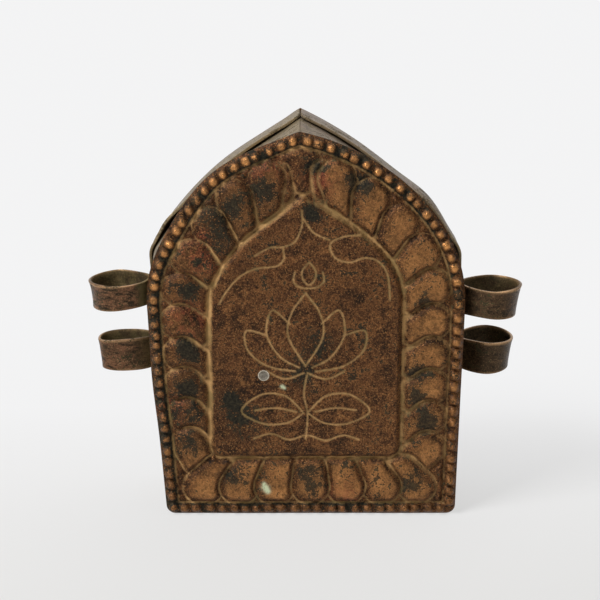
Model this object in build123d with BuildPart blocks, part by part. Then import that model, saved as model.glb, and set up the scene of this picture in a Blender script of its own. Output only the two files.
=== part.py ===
from build123d import *
from collections import namedtuple
from math import cos, radians, sin, sqrt, tan
import os

os.makedirs("parts", exist_ok=True)

# Copper sheet and fits, in millimetres
sheet = 0.7  # every plate, band and strap loop is cut from this sheet
slip_clearance = 0.3  # gap all round between the two telescoping shells

# Front to back: the face looks along -Y, the back plate is at +Y
case_depth = 26.0  # crown of the petals to the outside of the back plate
rear_shell_depth = 9.0  # rim of the rear shell to the outside of the back plate
sleeve_overlap = 6.5  # length of the front shell inside the rear shell

# Foot and walls of the case, seen from the front
base_half_left = 35.6
base_half_right = 38.4
lean_left = 3.4  # degrees that each side wall leans outwards
lean_right = 0.8
inside_corner_radius = 0.6
ridge_offset = -1.3  # the ridge of both shells stands left of the middle

# Rounded arch of the face
face_spring_height = 56.0
face_apex_height = 99.4
face_shoulder_radius = 37.0
face_shoulder_turn = 40.0  # degrees from the wall to the foot of the roof slope

# Straighter gable of the rear shell
rear_spring_height = 64.5
rear_apex_height = 100.8
rear_shoulder_radius = 5.0
rear_shoulder_turn = 36.0

# Ridge seam of the rear shell, where two square-cut strips meet
ridge_seam_width = 0.9
ridge_seam_depth = 0.55

# Raised niche panel in the middle of the face
niche_half_width = 24.0
niche_foot_height = 15.9
niche_spring_height = 57.0
niche_apex_height = 84.0
niche_ridge_offset = -0.7
niche_shoulder_radius = 20.0
niche_shoulder_turn = 45.0
niche_corner_radius = 3.2
niche_rise = 1.3
niche_taper = 48.0

# Lotus petals around the niche
petal_flank_rise = 1.1  # a petal is a pillow: steep flank, then a low crown
petal_flank_taper = 35.0
petal_crown_rise = 0.5
petal_crown_taper = 66.0
petal_hollow_taper = 42.0
petal_root_facets = (120, 180, 240)  # corners of a petal, in degrees from its own axis
petal_tip_facets = (-75, -25, 25, 75)
petal_gap = 0.4  # to the niche, and to the bead border
petal_root_radius = 3.7
petal_tip_radius = 4.1
side_petals = 10  # on each side, from the foot of the niche up the arch
side_petal_start = 0.02  # shares of the rail from the niche foot to the apex
side_petal_end = 0.865
petal_tilt = 0.025  # a tip stands this much further along its rail than its root
bud_share = 0.935  # place and slimness of the narrow petal beside the apex petal
bud_slimness = 0.6
bottom_petals = 7
bottom_root_pitch = 7.9  # the bottom petals fan out towards the border
bottom_tip_pitch = 8.8

# Bead border
bead_radius = 1.3
bead_sides = 6
bead_flank_rise = 0.6
bead_flank_taper = 22.0
bead_crown_rise = 0.4
bead_crown_taper = 54.0
bead_pitch = 3.1
bead_inset = 1.7  # bead centre to the edge of the face
border_width = 3.2  # edge of the face to the petal field

# Rivet in the niche panel
rivet_x = -10.4
rivet_height = 38.6
rivet_head_radius = 1.05
rivet_head_rise = 0.3
rivet_shank_radius = 0.5
rivet_inner_radius = 0.9
rivet_inner_rise = 0.4

# Strap loops: rings bent from strip, each on a flattened foot
front_loop_bore_radius = 6.9
rear_loop_bore_radius = 6.6
front_loop_top = {"left": 62.1, "right": 60.4}
rear_loop_top = {"left": 43.2, "right": 42.9}
front_loop_strip = {"left": 6.4, "right": 7.4}
rear_loop_strip = {"left": 8.2, "right": 8.2}
rear_left_loop_opening = 7.2  # this ring has been pressed flat, front to back
rear_loop_foot_margin = 1.0  # to the rim of the rear shell, and to the back
front_loop_foot_margin = 3.0  # to the face plate, and to the rim of the rear shell
loop_foot_thickness = 0.5
loop_edge_clearance = 0.4  # rounding of a front loop to the edges on both sides of its wall

# Places that follow from these sizes
back_outside = case_depth / 2
back_inside = back_outside - sheet
rear_rim = back_outside - rear_shell_depth
petal_rise = petal_flank_rise + petal_crown_rise
petal_crown = -case_depth / 2
face_front = petal_crown + petal_rise
face_back = face_front + sheet
sleeve_end = rear_rim + sleeve_overlap
niche_front = face_front - niche_rise
shell_step = sheet + slip_clearance  # outside of the rear wall to outside of the front wall
case_corner_radius = inside_corner_radius + shell_step + sheet
ridge_plane = Plane.YZ.offset(ridge_offset)
side_sign = {"left": -1, "right": 1}
base_half = {"left": base_half_left, "right": base_half_right}
lean = {"left": lean_left, "right": lean_right}

Arch = namedtuple("Arch", "left right foot lean_left lean_right spring ridge apex radius turn corner")
face_arch = Arch(
    base_half_left, base_half_right, 0.0, lean_left, lean_right, face_spring_height,
    ridge_offset, face_apex_height, face_shoulder_radius, face_shoulder_turn, case_corner_radius,
)
rear_arch = face_arch._replace(
    spring=rear_spring_height, apex=rear_apex_height,
    radius=rear_shoulder_radius, turn=rear_shoulder_turn,
)
niche_arch = Arch(
    niche_half_width, niche_half_width, niche_foot_height, 0.0, 0.0, niche_spring_height,
    niche_ridge_offset, niche_apex_height, niche_shoulder_radius, niche_shoulder_turn, niche_corner_radius,
)


def at_depth(depth):
    return Plane.XZ.offset(-depth)


def draw_half_arch(arch, side):
    sign = side_sign[side]
    half = getattr(arch, side)
    spread = (arch.spring - arch.foot) * tan(radians(getattr(arch, "lean_" + side)))
    wall = Line((sign * half, arch.foot), (sign * (half + spread), arch.spring))
    shoulder = JernArc(wall @ 1, wall % 1, arch.radius, sign * arch.turn)
    roof = TangentArc(shoulder @ 1, (arch.ridge, arch.apex), tangent=shoulder % 1)
    return wall, shoulder, roof


def arch_section(arch, plane, inset=0.0):
    with BuildSketch(plane) as section:
        with BuildLine():
            Line((-arch.left, arch.foot), (arch.right, arch.foot))
            draw_half_arch(arch, "left")
            draw_half_arch(arch, "right")
        make_face()
        fillet(section.vertices().group_by(Axis.Y)[0], arch.corner)
        if inset:
            offset(amount=-inset, kind=Kind.INTERSECTION)
    return section.sketch


def petal_rail(arch, side, growth):
    # Line from the level of the niche foot to the apex, at a distance outside the given arch
    grown = arch._replace(
        left=arch.left + growth, right=arch.right + growth, foot=niche_foot_height,
        apex=arch.apex + growth, radius=arch.radius + growth,
    )
    with BuildLine(mode=Mode.PRIVATE):
        rail = Wire(draw_half_arch(grown, side))
    return rail


def petal_outline(height, root, tip, slimness, margin=0.0):
    ends = (
        (root, petal_root_radius * slimness - margin, petal_root_facets),
        (tip, petal_tip_radius * slimness - margin, petal_tip_facets),
    )
    axis = (tip - root).normalized()
    corners = [end + axis.rotate(Axis.Z, angle) * radius for end, radius, angles in ends for angle in angles]
    with BuildSketch(Plane.XY.offset(height)) as outline:
        with BuildLine():
            Polyline(*corners, close=True)
        make_face()
    return outline.sketch


def petal_pillow(root, tip, slimness):
    with BuildPart() as pillow:
        extrude(
            petal_outline(0, root, tip, slimness),
            amount=petal_flank_rise * slimness, taper=petal_flank_taper,
        )
        extrude(
            pillow.faces().sort_by(Axis.Z)[-1],
            amount=petal_crown_rise * slimness, taper=petal_crown_taper,
        )
    return pillow.part


def petal_hollow(root, tip, slimness):
    # What the punch leaves behind a petal: one sheet thickness inside its pillow
    with BuildPart() as hollow:
        extrude(
            petal_outline(-sheet, root, tip, slimness, margin=sheet),
            amount=petal_rise * slimness, taper=petal_hollow_taper,
        )
    return hollow.part


def petal_places():
    # Root, tip and slimness of each petal, in the plane of the face
    root_growth = petal_gap + petal_root_radius
    tip_growth = -(border_width + petal_gap + petal_tip_radius)
    places = []
    for side in side_sign:
        roots = petal_rail(niche_arch, side, root_growth)
        tips = petal_rail(face_arch, side, tip_growth)
        share_step = (side_petal_end - side_petal_start) / (side_petals - 1)
        shares = [side_petal_start + share_step * number for number in range(side_petals)]
        places += [(roots @ share, tips @ (share + petal_tilt), 1.0) for share in shares]
        places.append((roots @ bud_share, tips @ bud_share, bud_slimness))
    places.append((roots @ 1, tips @ 1, 1.0))
    base_middle = (base_half_right - base_half_left) / 2
    for number in range(bottom_petals):
        step = number - (bottom_petals - 1) / 2
        root = Vector(base_middle + step * bottom_root_pitch, niche_foot_height - root_growth)
        tip = Vector(base_middle + step * bottom_tip_pitch, -tip_growth)
        places.append((root, tip, 1.0))
    return places


# The relief is drawn lying flat, ground level at zero, and then stood up against the face
def stand_at(x, height):
    return Location((x, face_front, height), (90, 0, 0))


petals = petal_places()
pillows = [petal_pillow(*place) for place in petals]
hollows = [petal_hollow(*place) for place in petals]

with BuildPart() as niche_panel:
    extrude(arch_section(niche_arch, Plane.XY), amount=niche_rise, taper=niche_taper)
with BuildPart() as niche_hollow:
    extrude(arch_section(niche_arch, Plane.XY.offset(-sheet), sheet), amount=niche_rise, taper=niche_taper)

with BuildPart() as bead:
    with BuildSketch():
        RegularPolygon(bead_radius, bead_sides)
    extrude(amount=bead_flank_rise, taper=bead_flank_taper)
    extrude(bead.faces().sort_by(Axis.Z)[-1], amount=bead_crown_rise, taper=bead_crown_taper)
bead_line = arch_section(face_arch, Plane.XY, bead_inset).face().outer_wire()
bead_count = round(bead_line.length / bead_pitch)
bead_points = [bead_line @ (number / bead_count) for number in range(bead_count)]

# Face plate: one sheet, raised from behind
with BuildPart() as face_plate:
    extrude(arch_section(face_arch, at_depth(face_front)), amount=-sheet)
    with Locations(stand_at(0, 0)):
        add([*pillows, niche_panel.part])
        add([*hollows, niche_hollow.part], mode=Mode.SUBTRACT)
    with Locations(*[stand_at(point.X, point.Y) for point in bead_points]):
        add(bead.part)
    with BuildSketch(at_depth(niche_front)):
        with Locations((rivet_x, rivet_height)):
            Circle(rivet_shank_radius)
    extrude(amount=-sheet, mode=Mode.SUBTRACT)
face_plate.part.label = "face_plate"
export_step(face_plate.part, "parts/face_plate.step")

# Rivet: flat head outside, shank through the sheet, peened head inside
with BuildPart() as face_rivet:
    for depth, radius, length in (
        (niche_front, rivet_head_radius, rivet_head_rise),
        (niche_front + sheet, rivet_shank_radius, sheet),
        (niche_front + sheet + rivet_inner_rise, rivet_inner_radius, rivet_inner_rise),
    ):
        with BuildSketch(at_depth(depth)):
            with Locations((rivet_x, rivet_height)):
                Circle(radius)
        extrude(amount=length)
face_rivet.part.label = "face_rivet"
export_step(face_rivet.part, "parts/face_rivet.step")

# Front bands: half walls that pass from the arch of the face to the gable, then run inside the rear shell
for side in side_sign:
    with BuildPart() as front_band:
        for inset, mode in ((shell_step, Mode.ADD), (shell_step + sheet, Mode.SUBTRACT)):
            front_edge = arch_section(face_arch, at_depth(face_back), inset)
            rim_edge = arch_section(rear_arch, at_depth(rear_rim), inset)
            loft([front_edge, rim_edge], ruled=True, mode=mode)
            extrude(arch_section(rear_arch, at_depth(sleeve_end), inset), amount=sleeve_overlap, mode=mode)
        split(bisect_by=ridge_plane, keep=Keep.TOP if side == "right" else Keep.BOTTOM)
    front_band.part.label = "front_band_" + side
    export_step(front_band.part, "parts/front_band_" + side + ".step")

# Rear bands: half walls outside the front shell, with an open seam along the ridge
for side in side_sign:
    with BuildPart() as rear_band:
        for inset, mode in ((0.0, Mode.ADD), (sheet, Mode.SUBTRACT)):
            wall = arch_section(rear_arch, at_depth(back_inside), inset)
            extrude(wall, amount=back_inside - rear_rim, mode=mode)
        with BuildSketch(at_depth(back_inside)):
            with BuildLine():
                Polyline(
                    (ridge_offset, rear_apex_height - ridge_seam_depth),
                    (ridge_offset + ridge_seam_width / 2, rear_apex_height),
                    (ridge_offset - ridge_seam_width / 2, rear_apex_height),
                    close=True,
                )
            make_face()
        extrude(amount=back_inside - rear_rim, mode=Mode.SUBTRACT)
        split(bisect_by=ridge_plane, keep=Keep.TOP if side == "right" else Keep.BOTTOM)
    rear_band.part.label = "rear_band_" + side
    export_step(rear_band.part, "parts/rear_band_" + side + ".step")

# Back plate: plain sheet cut to the gable
with BuildPart() as back_plate:
    extrude(arch_section(rear_arch, at_depth(back_outside)), amount=sheet)
back_plate.part.label = "back_plate"
export_step(back_plate.part, "parts/back_plate.step")


def wall_plane(side, inset, height, depth):
    # On the outside of a side wall: X points away from the wall, Z runs up along it
    sign = side_sign[side]
    tilt = radians(lean[side])
    outward = Vector(sign * cos(tilt), 0, -sin(tilt))
    upward = Vector(sign * sin(tilt), 0, cos(tilt))
    foot = Vector(sign * base_half[side], depth, 0)
    return Plane(foot + upward * (height / cos(tilt)) - outward * inset, x_dir=outward, z_dir=upward)


# Strap loops: the upper pair reaches forward to the crown of the petals, the lower pair back to the back plate
front_ring_radius = front_loop_bore_radius + sheet
front_loop_depth = petal_crown + front_ring_radius
rear_ring_radius = rear_loop_bore_radius + sheet
rear_loop_depth = back_outside - rear_ring_radius

# A front ring stands off its wall only as far as it must to clear the face plate and the rim of the rear shell
reach = min(front_loop_depth - face_back, rear_rim - front_loop_depth, front_ring_radius)
rounding = front_ring_radius - sqrt(front_ring_radius**2 - reach**2)
front_loop_stand = max(shell_step + loop_edge_clearance - rounding, 0.0)

Seat = namedtuple("Seat", "inset stand ring_radius depth foot_middle foot_length tops strips")
seats = {
    "front": Seat(
        shell_step, front_loop_stand, front_ring_radius, front_loop_depth, (face_back + rear_rim) / 2,
        rear_rim - face_back - 2 * front_loop_foot_margin, front_loop_top, front_loop_strip,
    ),
    "rear": Seat(
        0.0, 0.0, rear_ring_radius, rear_loop_depth, (rear_rim + back_outside) / 2,
        back_outside - rear_rim - 2 * rear_loop_foot_margin, rear_loop_top, rear_loop_strip,
    ),
}
for shell, seat in seats.items():
    for side, sign in side_sign.items():
        strip = seat.strips[side]
        pad = seat.stand + loop_foot_thickness
        pressed = shell == "rear" and side == "left"
        with BuildPart() as strap_loop:
            with BuildSketch(wall_plane(side, seat.inset, seat.tops[side] - strip, seat.depth)):
                with Locations((seat.stand + seat.ring_radius, 0)):
                    if pressed:
                        SlotOverall(2 * seat.ring_radius, rear_left_loop_opening + 2 * sheet)
                    else:
                        Circle(seat.ring_radius)
                with Locations((pad / 2, sign * (seat.foot_middle - seat.depth))):
                    Rectangle(pad, seat.foot_length)
                with Locations((seat.stand + seat.ring_radius, 0)):
                    if pressed:
                        SlotOverall(2 * (seat.ring_radius - sheet), rear_left_loop_opening, mode=Mode.SUBTRACT)
                    else:
                        Circle(seat.ring_radius - sheet, mode=Mode.SUBTRACT)
            extrude(amount=strip)
        strap_loop.part.label = shell + "_loop_" + side
        export_step(strap_loop.part, "parts/" + shell + "_loop_" + side + ".step")
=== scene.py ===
import math

import bpy
import numpy as np
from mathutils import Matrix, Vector, geometry, noise


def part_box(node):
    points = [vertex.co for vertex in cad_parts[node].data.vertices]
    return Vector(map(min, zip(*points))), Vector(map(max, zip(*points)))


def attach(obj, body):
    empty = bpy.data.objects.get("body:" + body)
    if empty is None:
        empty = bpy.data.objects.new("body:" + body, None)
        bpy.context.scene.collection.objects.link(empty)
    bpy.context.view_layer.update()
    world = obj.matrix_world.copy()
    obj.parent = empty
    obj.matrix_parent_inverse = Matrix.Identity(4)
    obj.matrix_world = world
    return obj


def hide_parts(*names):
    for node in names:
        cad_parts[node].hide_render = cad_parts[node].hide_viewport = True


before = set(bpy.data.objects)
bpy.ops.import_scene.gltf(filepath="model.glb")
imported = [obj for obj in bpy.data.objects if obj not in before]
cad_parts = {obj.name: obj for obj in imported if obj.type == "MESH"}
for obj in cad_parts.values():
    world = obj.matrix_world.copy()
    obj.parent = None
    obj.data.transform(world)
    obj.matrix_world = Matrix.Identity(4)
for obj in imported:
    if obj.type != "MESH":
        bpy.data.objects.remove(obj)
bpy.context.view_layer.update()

mm = 0.001
scene = bpy.context.scene
scene.view_settings.view_transform = 'Standard'
bpy.ops.object.select_all(action='DESELECT')
print("frame loaded")


# Places in the frame, in millimetres
def nodeBox(name):
    low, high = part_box(name)
    return np.array(low) / mm, np.array(high) / mm


sheet = 0.7  # copper sheet of every piece
shellStep = 1.0  # outside of the rear wall to outside of the front wall
faceBack = nodeBox("face_plate")[1][1]
faceFront = faceBack - sheet
faceApex = nodeBox("face_plate")[1][2]
rearRim = nodeBox("rear_band_left")[0][1]
sleeveEnd = nodeBox("front_band_left")[1][1]
backInside = nodeBox("back_plate")[0][1]
backOutside = nodeBox("back_plate")[1][1]
rearApex = nodeBox("back_plate")[1][2]

# Arches seen from the front: leaning walls, round shoulders, roof slopes that meet in a ridge
faceArch = {
    "halfLeft": 35.6, "halfRight": 38.4, "leanLeft": 3.4, "leanRight": 0.8, "foot": 0.0, "corner": 2.3,
    "spring": 56.0, "radius": 37.0, "turn": 40.0, "ridge": -1.3, "apex": faceApex,
}
rearArch = dict(faceArch, spring=64.5, radius=5.0, turn=36.0, apex=rearApex)
nicheArch = {
    "halfLeft": 24.0, "halfRight": 24.0, "leanLeft": 0.0, "leanRight": 0.0, "foot": 15.9, "corner": 3.2,
    "spring": 57.0, "radius": 20.0, "turn": 45.0, "ridge": -0.7, "apex": 84.0,
}
runSteps = {"base": 50, "corner": 8, "wall": 80, "shoulder": 40, "roof": 70}
sides = {"Left": -1, "Right": 1}


def arcRun(centre, radius, start, end, steps):
    angle = np.linspace(start, end, steps)
    normal = np.stack([np.cos(angle), np.sin(angle)], 1)
    return centre + normal * radius, normal


def lineRun(start, end, normal, steps):
    share = np.linspace(0, 1, steps)[:, None]
    return start + (end - start) * share, np.tile(normal, (steps, 1))


# Half of an arch, from the seam in the base to the ridge, with its outward normals
def archHalf(arch, side, inset=0.0, runs=tuple(runSteps)):
    sign = sides[side]
    half = arch["half" + side]
    lean = math.radians(arch["lean" + side])
    corner, radius = arch["corner"], arch["radius"]
    ridge = sign * arch["ridge"]
    wallOut = np.array([math.cos(lean), -math.sin(lean)])
    wallUp = np.array([math.sin(lean), math.cos(lean)])
    cornerAt = np.array([half - corner * (1 - math.sin(lean)) / math.cos(lean), arch["foot"] + corner])
    spring = np.array([half, arch["foot"]]) + wallUp * (arch["spring"] - arch["foot"]) / math.cos(lean)
    bend = math.radians(arch["turn"]) - lean
    bendOut = np.array([math.cos(bend), math.sin(bend)])
    shoulderAt = spring - wallOut * radius
    chord = np.array([ridge, arch["apex"]]) - (shoulderAt + bendOut * radius)
    roofRadius = -(chord @ chord) / (2 * chord @ bendOut)
    roofAt = shoulderAt + bendOut * (radius - roofRadius)
    ridgeTurn = math.acos((ridge - roofAt[0]) / (roofRadius - inset))
    down = np.array([0.0, -1.0])
    made = {
        "base": lineRun(
            np.array([ridge, arch["foot"] + inset]), np.array([cornerAt[0], arch["foot"] + inset]),
            down, runSteps["base"]),
        "corner": arcRun(cornerAt, corner - inset, -math.pi / 2, -lean, runSteps["corner"]),
        "wall": lineRun(
            cornerAt + wallOut * (corner - inset), spring - wallOut * inset, wallOut, runSteps["wall"]),
        "shoulder": arcRun(shoulderAt, radius - inset, -lean, bend, runSteps["shoulder"]),
        "roof": arcRun(roofAt, roofRadius - inset, bend, ridgeTurn, runSteps["roof"]),
    }
    points = np.concatenate([made[run][0][1 if number else 0:] for number, run in enumerate(runs)])
    normals = np.concatenate([made[run][1][1 if number else 0:] for number, run in enumerate(runs)])
    mirror = np.array([sign, 1.0])
    return points * mirror, normals * mirror


def lengthAlong(line):
    return np.concatenate([[0.0], np.cumsum(np.linalg.norm(np.diff(line, axis=0), axis=1))])


def pointsAt(line, share):
    along = lengthAlong(line)
    share = np.atleast_1d(share) * along[-1]
    return np.stack([np.interp(share, along, line[:, axis]) for axis in range(line.shape[1])], 1)


def evenly(line, spacing):
    count = max(2, round(lengthAlong(line)[-1] / spacing))
    return pointsAt(line, np.linspace(0, 1, count + 1))


def closedArch(arch, spacing, inset=0.0):
    right = evenly(archHalf(arch, "Right", inset)[0], spacing)
    left = evenly(archHalf(arch, "Left", inset)[0], spacing)
    return np.concatenate([right, left[-2:0:-1]])


# How deep each point lies inside a round outline, negative outside it
def depthInside(points, outline):
    run = np.roll(outline, -1, axis=0) - outline
    inward = np.stack([-run[:, 1], run[:, 0]], 1) / np.linalg.norm(run, axis=1)[:, None]
    offset = np.einsum("ij,ij->i", inward, outline)
    depth = np.empty(len(points))
    for start in range(0, len(points), 8000):
        depth[start:start + 8000] = (points[start:start + 8000] @ inward.T - offset).min(1)
    return depth


def smooth(low, high, value):
    share = np.clip((value - low) / (high - low), 0, 1)
    return share * share * (3 - 2 * share)


def bell(value, width):
    return np.exp(-(value / width) ** 2)


def waves(points, size, seed=0.0):
    return np.array([noise.noise(Vector(point) / size + Vector((seed, seed, seed))) for point in points])


# The hand-made case is not true: its left wall swells, the left roof slope sags, the left shoulder
# of the face is drawn in and the right shoulder of the rear shell stands out
swell = {
    "height": 37.0, "spread": 12.0, "out": 1.0, "from": 20.0, "to": 36.0,
    "faceShare": 0.4, "faceAt": -12.5, "fullAt": -7.0,
}
sag = {"middle": -10.5, "spread": 9.0, "down": 0.8, "from": 70.0, "to": 80.0, "ridgeFade": 4.0}
drawnIn = {
    "x": -27.0, "height": 73.0, "spread": 11.0, "push": 2.2, "way": (0.78, -0.62), "from": 3.5, "to": -11.0,
}
shoulder = {
    "x": 31.5, "height": 78.0, "spread": 8.0, "push": 1.4, "way": (0.72, 0.69), "from": 2.0, "to": 6.0,
}


def pushed(points, dent):
    reach = np.hypot(points[:, 0] - dent["x"], points[:, 2] - dent["height"])
    push = dent["push"] * bell(reach, dent["spread"]) * smooth(dent["from"], dent["to"], points[:, 1])
    return points + push[:, None] * np.array([dent["way"][0], 0.0, dent["way"][1]])


def settle(points):
    moved = np.array(points, float)
    left = smooth(swell["from"], swell["to"], -moved[:, 0])
    behindFace = smooth(swell["faceAt"], swell["fullAt"], moved[:, 1])
    left = left * (swell["faceShare"] + (1 - swell["faceShare"]) * behindFace)
    moved[:, 0] -= swell["out"] * bell(moved[:, 2] - swell["height"], swell["spread"]) * left
    moved = pushed(moved, drawnIn)
    ridge = faceArch["ridge"]
    roof = smooth(ridge, ridge - sag["ridgeFade"], moved[:, 0]) * smooth(sag["from"], sag["to"], moved[:, 2])
    moved[:, 2] -= sag["down"] * bell(moved[:, 0] - sag["middle"], sag["spread"]) * roof
    return pushed(moved, shoulder)


def pieceFrom(name, points, faces):
    mesh = bpy.data.meshes.new(name)
    mesh.from_pydata((settle(points) * mm).tolist(), [], faces)
    obj = bpy.data.objects.new(name, mesh)
    scene.collection.objects.link(obj)
    return obj


def pick(obj):
    bpy.ops.object.select_all(action='DESELECT')
    obj.select_set(True)
    bpy.context.view_layer.objects.active = obj


def stain(obj, name, values):
    layer = obj.data.attributes.new(name, 'FLOAT', 'POINT')
    padded = np.zeros(len(obj.data.vertices))
    padded[:len(values)] = values
    layer.data.foreach_set("value", padded)


def corners(obj):
    flat = np.empty(len(obj.data.vertices) * 3)
    obj.data.vertices.foreach_get("co", flat)
    return flat.reshape(-1, 3)


def places(obj):
    return corners(obj) / mm


def seat(obj, body, node, material, smoothAngle=40):
    pick(obj)
    bpy.ops.object.shade_smooth_by_angle(angle=math.radians(smoothAngle))
    obj.data.materials.clear()
    obj.data.materials.append(material)
    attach(obj, body)
    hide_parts(node)
    bpy.ops.object.select_all(action='DESELECT')


def applyModifier(obj, kind, **settings):
    pick(obj)
    modifier = obj.modifiers.new(kind.lower(), kind)
    for key, value in settings.items():
        setattr(modifier, key, value)
    bpy.ops.object.modifier_apply(modifier=modifier.name)


# Materials: colours are written as a screen shows them, from 0 to 255
def tone(red, green, blue):
    def linear(value):
        share = value / 255
        return share / 12.92 if share <= 0.04045 else ((share + 0.055) / 1.055) ** 2.4
    return (linear(red), linear(green), linear(blue), 1.0)


def addNode(tree, kind, inputs=None, **settings):
    made = tree.nodes.new(kind)
    for key, value in settings.items():
        setattr(made, key, value)
    for key, value in (inputs or {}).items():
        socket = made.inputs[key]
        if isinstance(value, bpy.types.NodeSocket):
            tree.links.new(value, socket)
        else:
            socket.default_value = value
    return made


def sums(tree, operation, first, second=0.0, clamp=False):
    made = addNode(tree, 'ShaderNodeMath', {0: first, 1: second}, operation=operation, use_clamp=clamp)
    return made.outputs[0]


def blendColour(tree, below, above, mask):
    return addNode(tree, 'ShaderNodeMix', {0: mask, 6: below, 7: above}, data_type='RGBA').outputs[2]


def blendValue(tree, below, above, mask):
    return addNode(tree, 'ShaderNodeMix', {0: mask, 2: below, 3: above}, data_type='FLOAT').outputs[0]


def grain(tree, place, size, detail=4.0, roughness=0.55, distortion=0.0):
    return addNode(tree, 'ShaderNodeTexNoise', {
        'Vector': place, 'Scale': 1 / (size * mm), 'Detail': detail, 'Roughness': roughness,
        'Distortion': distortion}).outputs[0]


def steps(tree, value, stops):
    made = addNode(tree, 'ShaderNodeValToRGB', {0: value})
    ramp = made.color_ramp
    while len(ramp.elements) < len(stops):
        ramp.elements.new(0.5)
    for element, (position, colour) in zip(ramp.elements, stops):
        element.position = position
        element.color = colour
    return made.outputs[0]


def between(tree, value, low, high):
    made = addNode(tree, 'ShaderNodeMapRange', {0: value, 1: low, 2: high, 3: 0.0, 4: 1.0}, clamp=True)
    return made.outputs[0]


def mixed(tree, *parts, offset=0.0):
    total = offset
    for value, weight in parts:
        made = addNode(tree, 'ShaderNodeMath', {0: value, 1: weight, 2: total}, operation='MULTIPLY_ADD')
        total = made.outputs[0]
    return total


def mark(tree, name):
    return addNode(tree, 'ShaderNodeAttribute', attribute_name=name).outputs['Fac']


# Aged copper: brown tones in several grains, pits, painted glints, dark patches, worn bright metal, and dust
# in the hollows; on the face the dust tan also paints light on slopes and rims toward the lamp
def agedCopper(name, look):
    material = bpy.data.materials.new(name)
    material.use_nodes = True
    tree = material.node_tree
    shader = tree.nodes["Principled BSDF"]
    place = addNode(tree, 'ShaderNodeTexCoord').outputs['Object']
    fine = grain(tree, place, look["fine"], 1.0, 0.6)
    speck = grain(tree, place, look["speck"], 5.0, 0.7)
    drawn = addNode(tree, 'ShaderNodeVectorMath', {0: place, 1: look["streak"]}, operation='MULTIPLY')
    cloud = grain(tree, drawn.outputs[0], look["cloud"], 4.0, 0.6, 0.6)
    blotch = grain(tree, place, look["blotch"], 7.0, 0.68, 0.9)
    mottle = mixed(tree, (fine, 0.18), (speck, 0.32), (cloud, 0.28), (blotch, 0.3), offset=-0.04)
    colour = steps(tree, mottle, [
        (0.42, tone(*look["dark"])), (0.5, tone(*look["brown"])), (0.57, tone(*look["copper"]))])
    red = sums(tree, 'MULTIPLY', mark(tree, "red"), between(tree, cloud, 0.4, 0.56))
    colour = blendColour(tree, colour, tone(*look["red"]), red)
    pits = sums(tree, 'MULTIPLY', between(tree, fine, 0.56, 0.66), look["pits"])
    colour = blendColour(tree, colour, tone(*look["patchTone"]), pits)
    # painted glints: tiny specks lightened toward the bright metal colour
    glints = sums(tree, 'MULTIPLY', between(tree, fine, 0.4, 0.32), look["glints"])
    colour = blendColour(tree, colour, tone(*look["bright"]), glints)
    ragged = mixed(tree, (blotch, 3.0), (speck, 2.8), (cloud, 2.4), (fine, 0.8), offset=-4.5)
    soiled = sums(tree, 'ADD', mark(tree, "patina"), look["patch"])
    dark = between(tree, sums(tree, 'ADD', ragged, soiled), 0.44, 0.54)
    colour = blendColour(tree, colour, blendColour(
        tree, tone(*look["patchTone"]), tone(*look["patchTint"]), between(tree, speck, 0.42, 0.62)), dark)
    scuffs = mixed(tree, (speck, 3.0), (cloud, 1.4), (fine, 0.8), offset=-1.7)
    worn = sums(tree, 'MULTIPLY', mark(tree, "wear"), scuffs, True)
    worn = sums(tree, 'MAXIMUM', worn, sums(tree, 'MULTIPLY', between(tree, cloud, 0.6, 0.7), look["wear"]))
    worn = sums(tree, 'MULTIPLY', worn, mixed(tree, (dark, -0.9), offset=1.0))
    colour = blendColour(tree, colour, tone(*look["bright"]), worn)
    # dust in the hollows; on the face this tan also stands in as painted light where slopes face the lamp
    powder = mixed(tree, (speck, 0.9), (cloud, 0.5), offset=-0.7)
    dustAndLight = between(tree, sums(tree, 'ADD', mark(tree, "residueAndLight"), powder), 0.12, 0.85)
    dustAndLight = sums(tree, 'MULTIPLY', dustAndLight, look["dusty"])
    colour = blendColour(tree, colour, blendColour(
        tree, tone(*look["dustAndLight"]), tone(*look["dustTint"]), between(tree, blotch, 0.46, 0.6)), dustAndLight)
    green = sums(tree, 'MULTIPLY', mark(tree, "verdigris"), between(tree, speck, 0.34, 0.48))
    colour = blendColour(tree, colour, tone(*look["green"]), green)
    matt = sums(tree, 'MAXIMUM', sums(tree, 'MAXIMUM', dustAndLight, green), sums(tree, 'MULTIPLY', dark, 0.8))
    metal = blendValue(tree, look["metal"], look["wornMetal"], worn)
    metal = blendValue(tree, metal, look["mattMetal"], matt)
    roughness = blendValue(tree, look["roughness"], look["wornRoughness"], worn)
    roughness = blendValue(tree, roughness, look["mattRoughness"], matt)
    relief = mixed(tree, (fine, 0.35), (speck, 0.6), (cloud, 0.7))
    bump = addNode(tree, 'ShaderNodeBump', {
        'Strength': look["bump"], 'Distance': look["pit"] * mm, 'Height': relief}).outputs[0]
    shader.inputs["Specular IOR Level"].default_value = look["sheen"]
    linked = {"Base Color": colour, "Metallic": metal, "Roughness": roughness, "Normal": bump}
    for key, value in linked.items():
        tree.links.new(value, shader.inputs[key])
    return material


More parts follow.
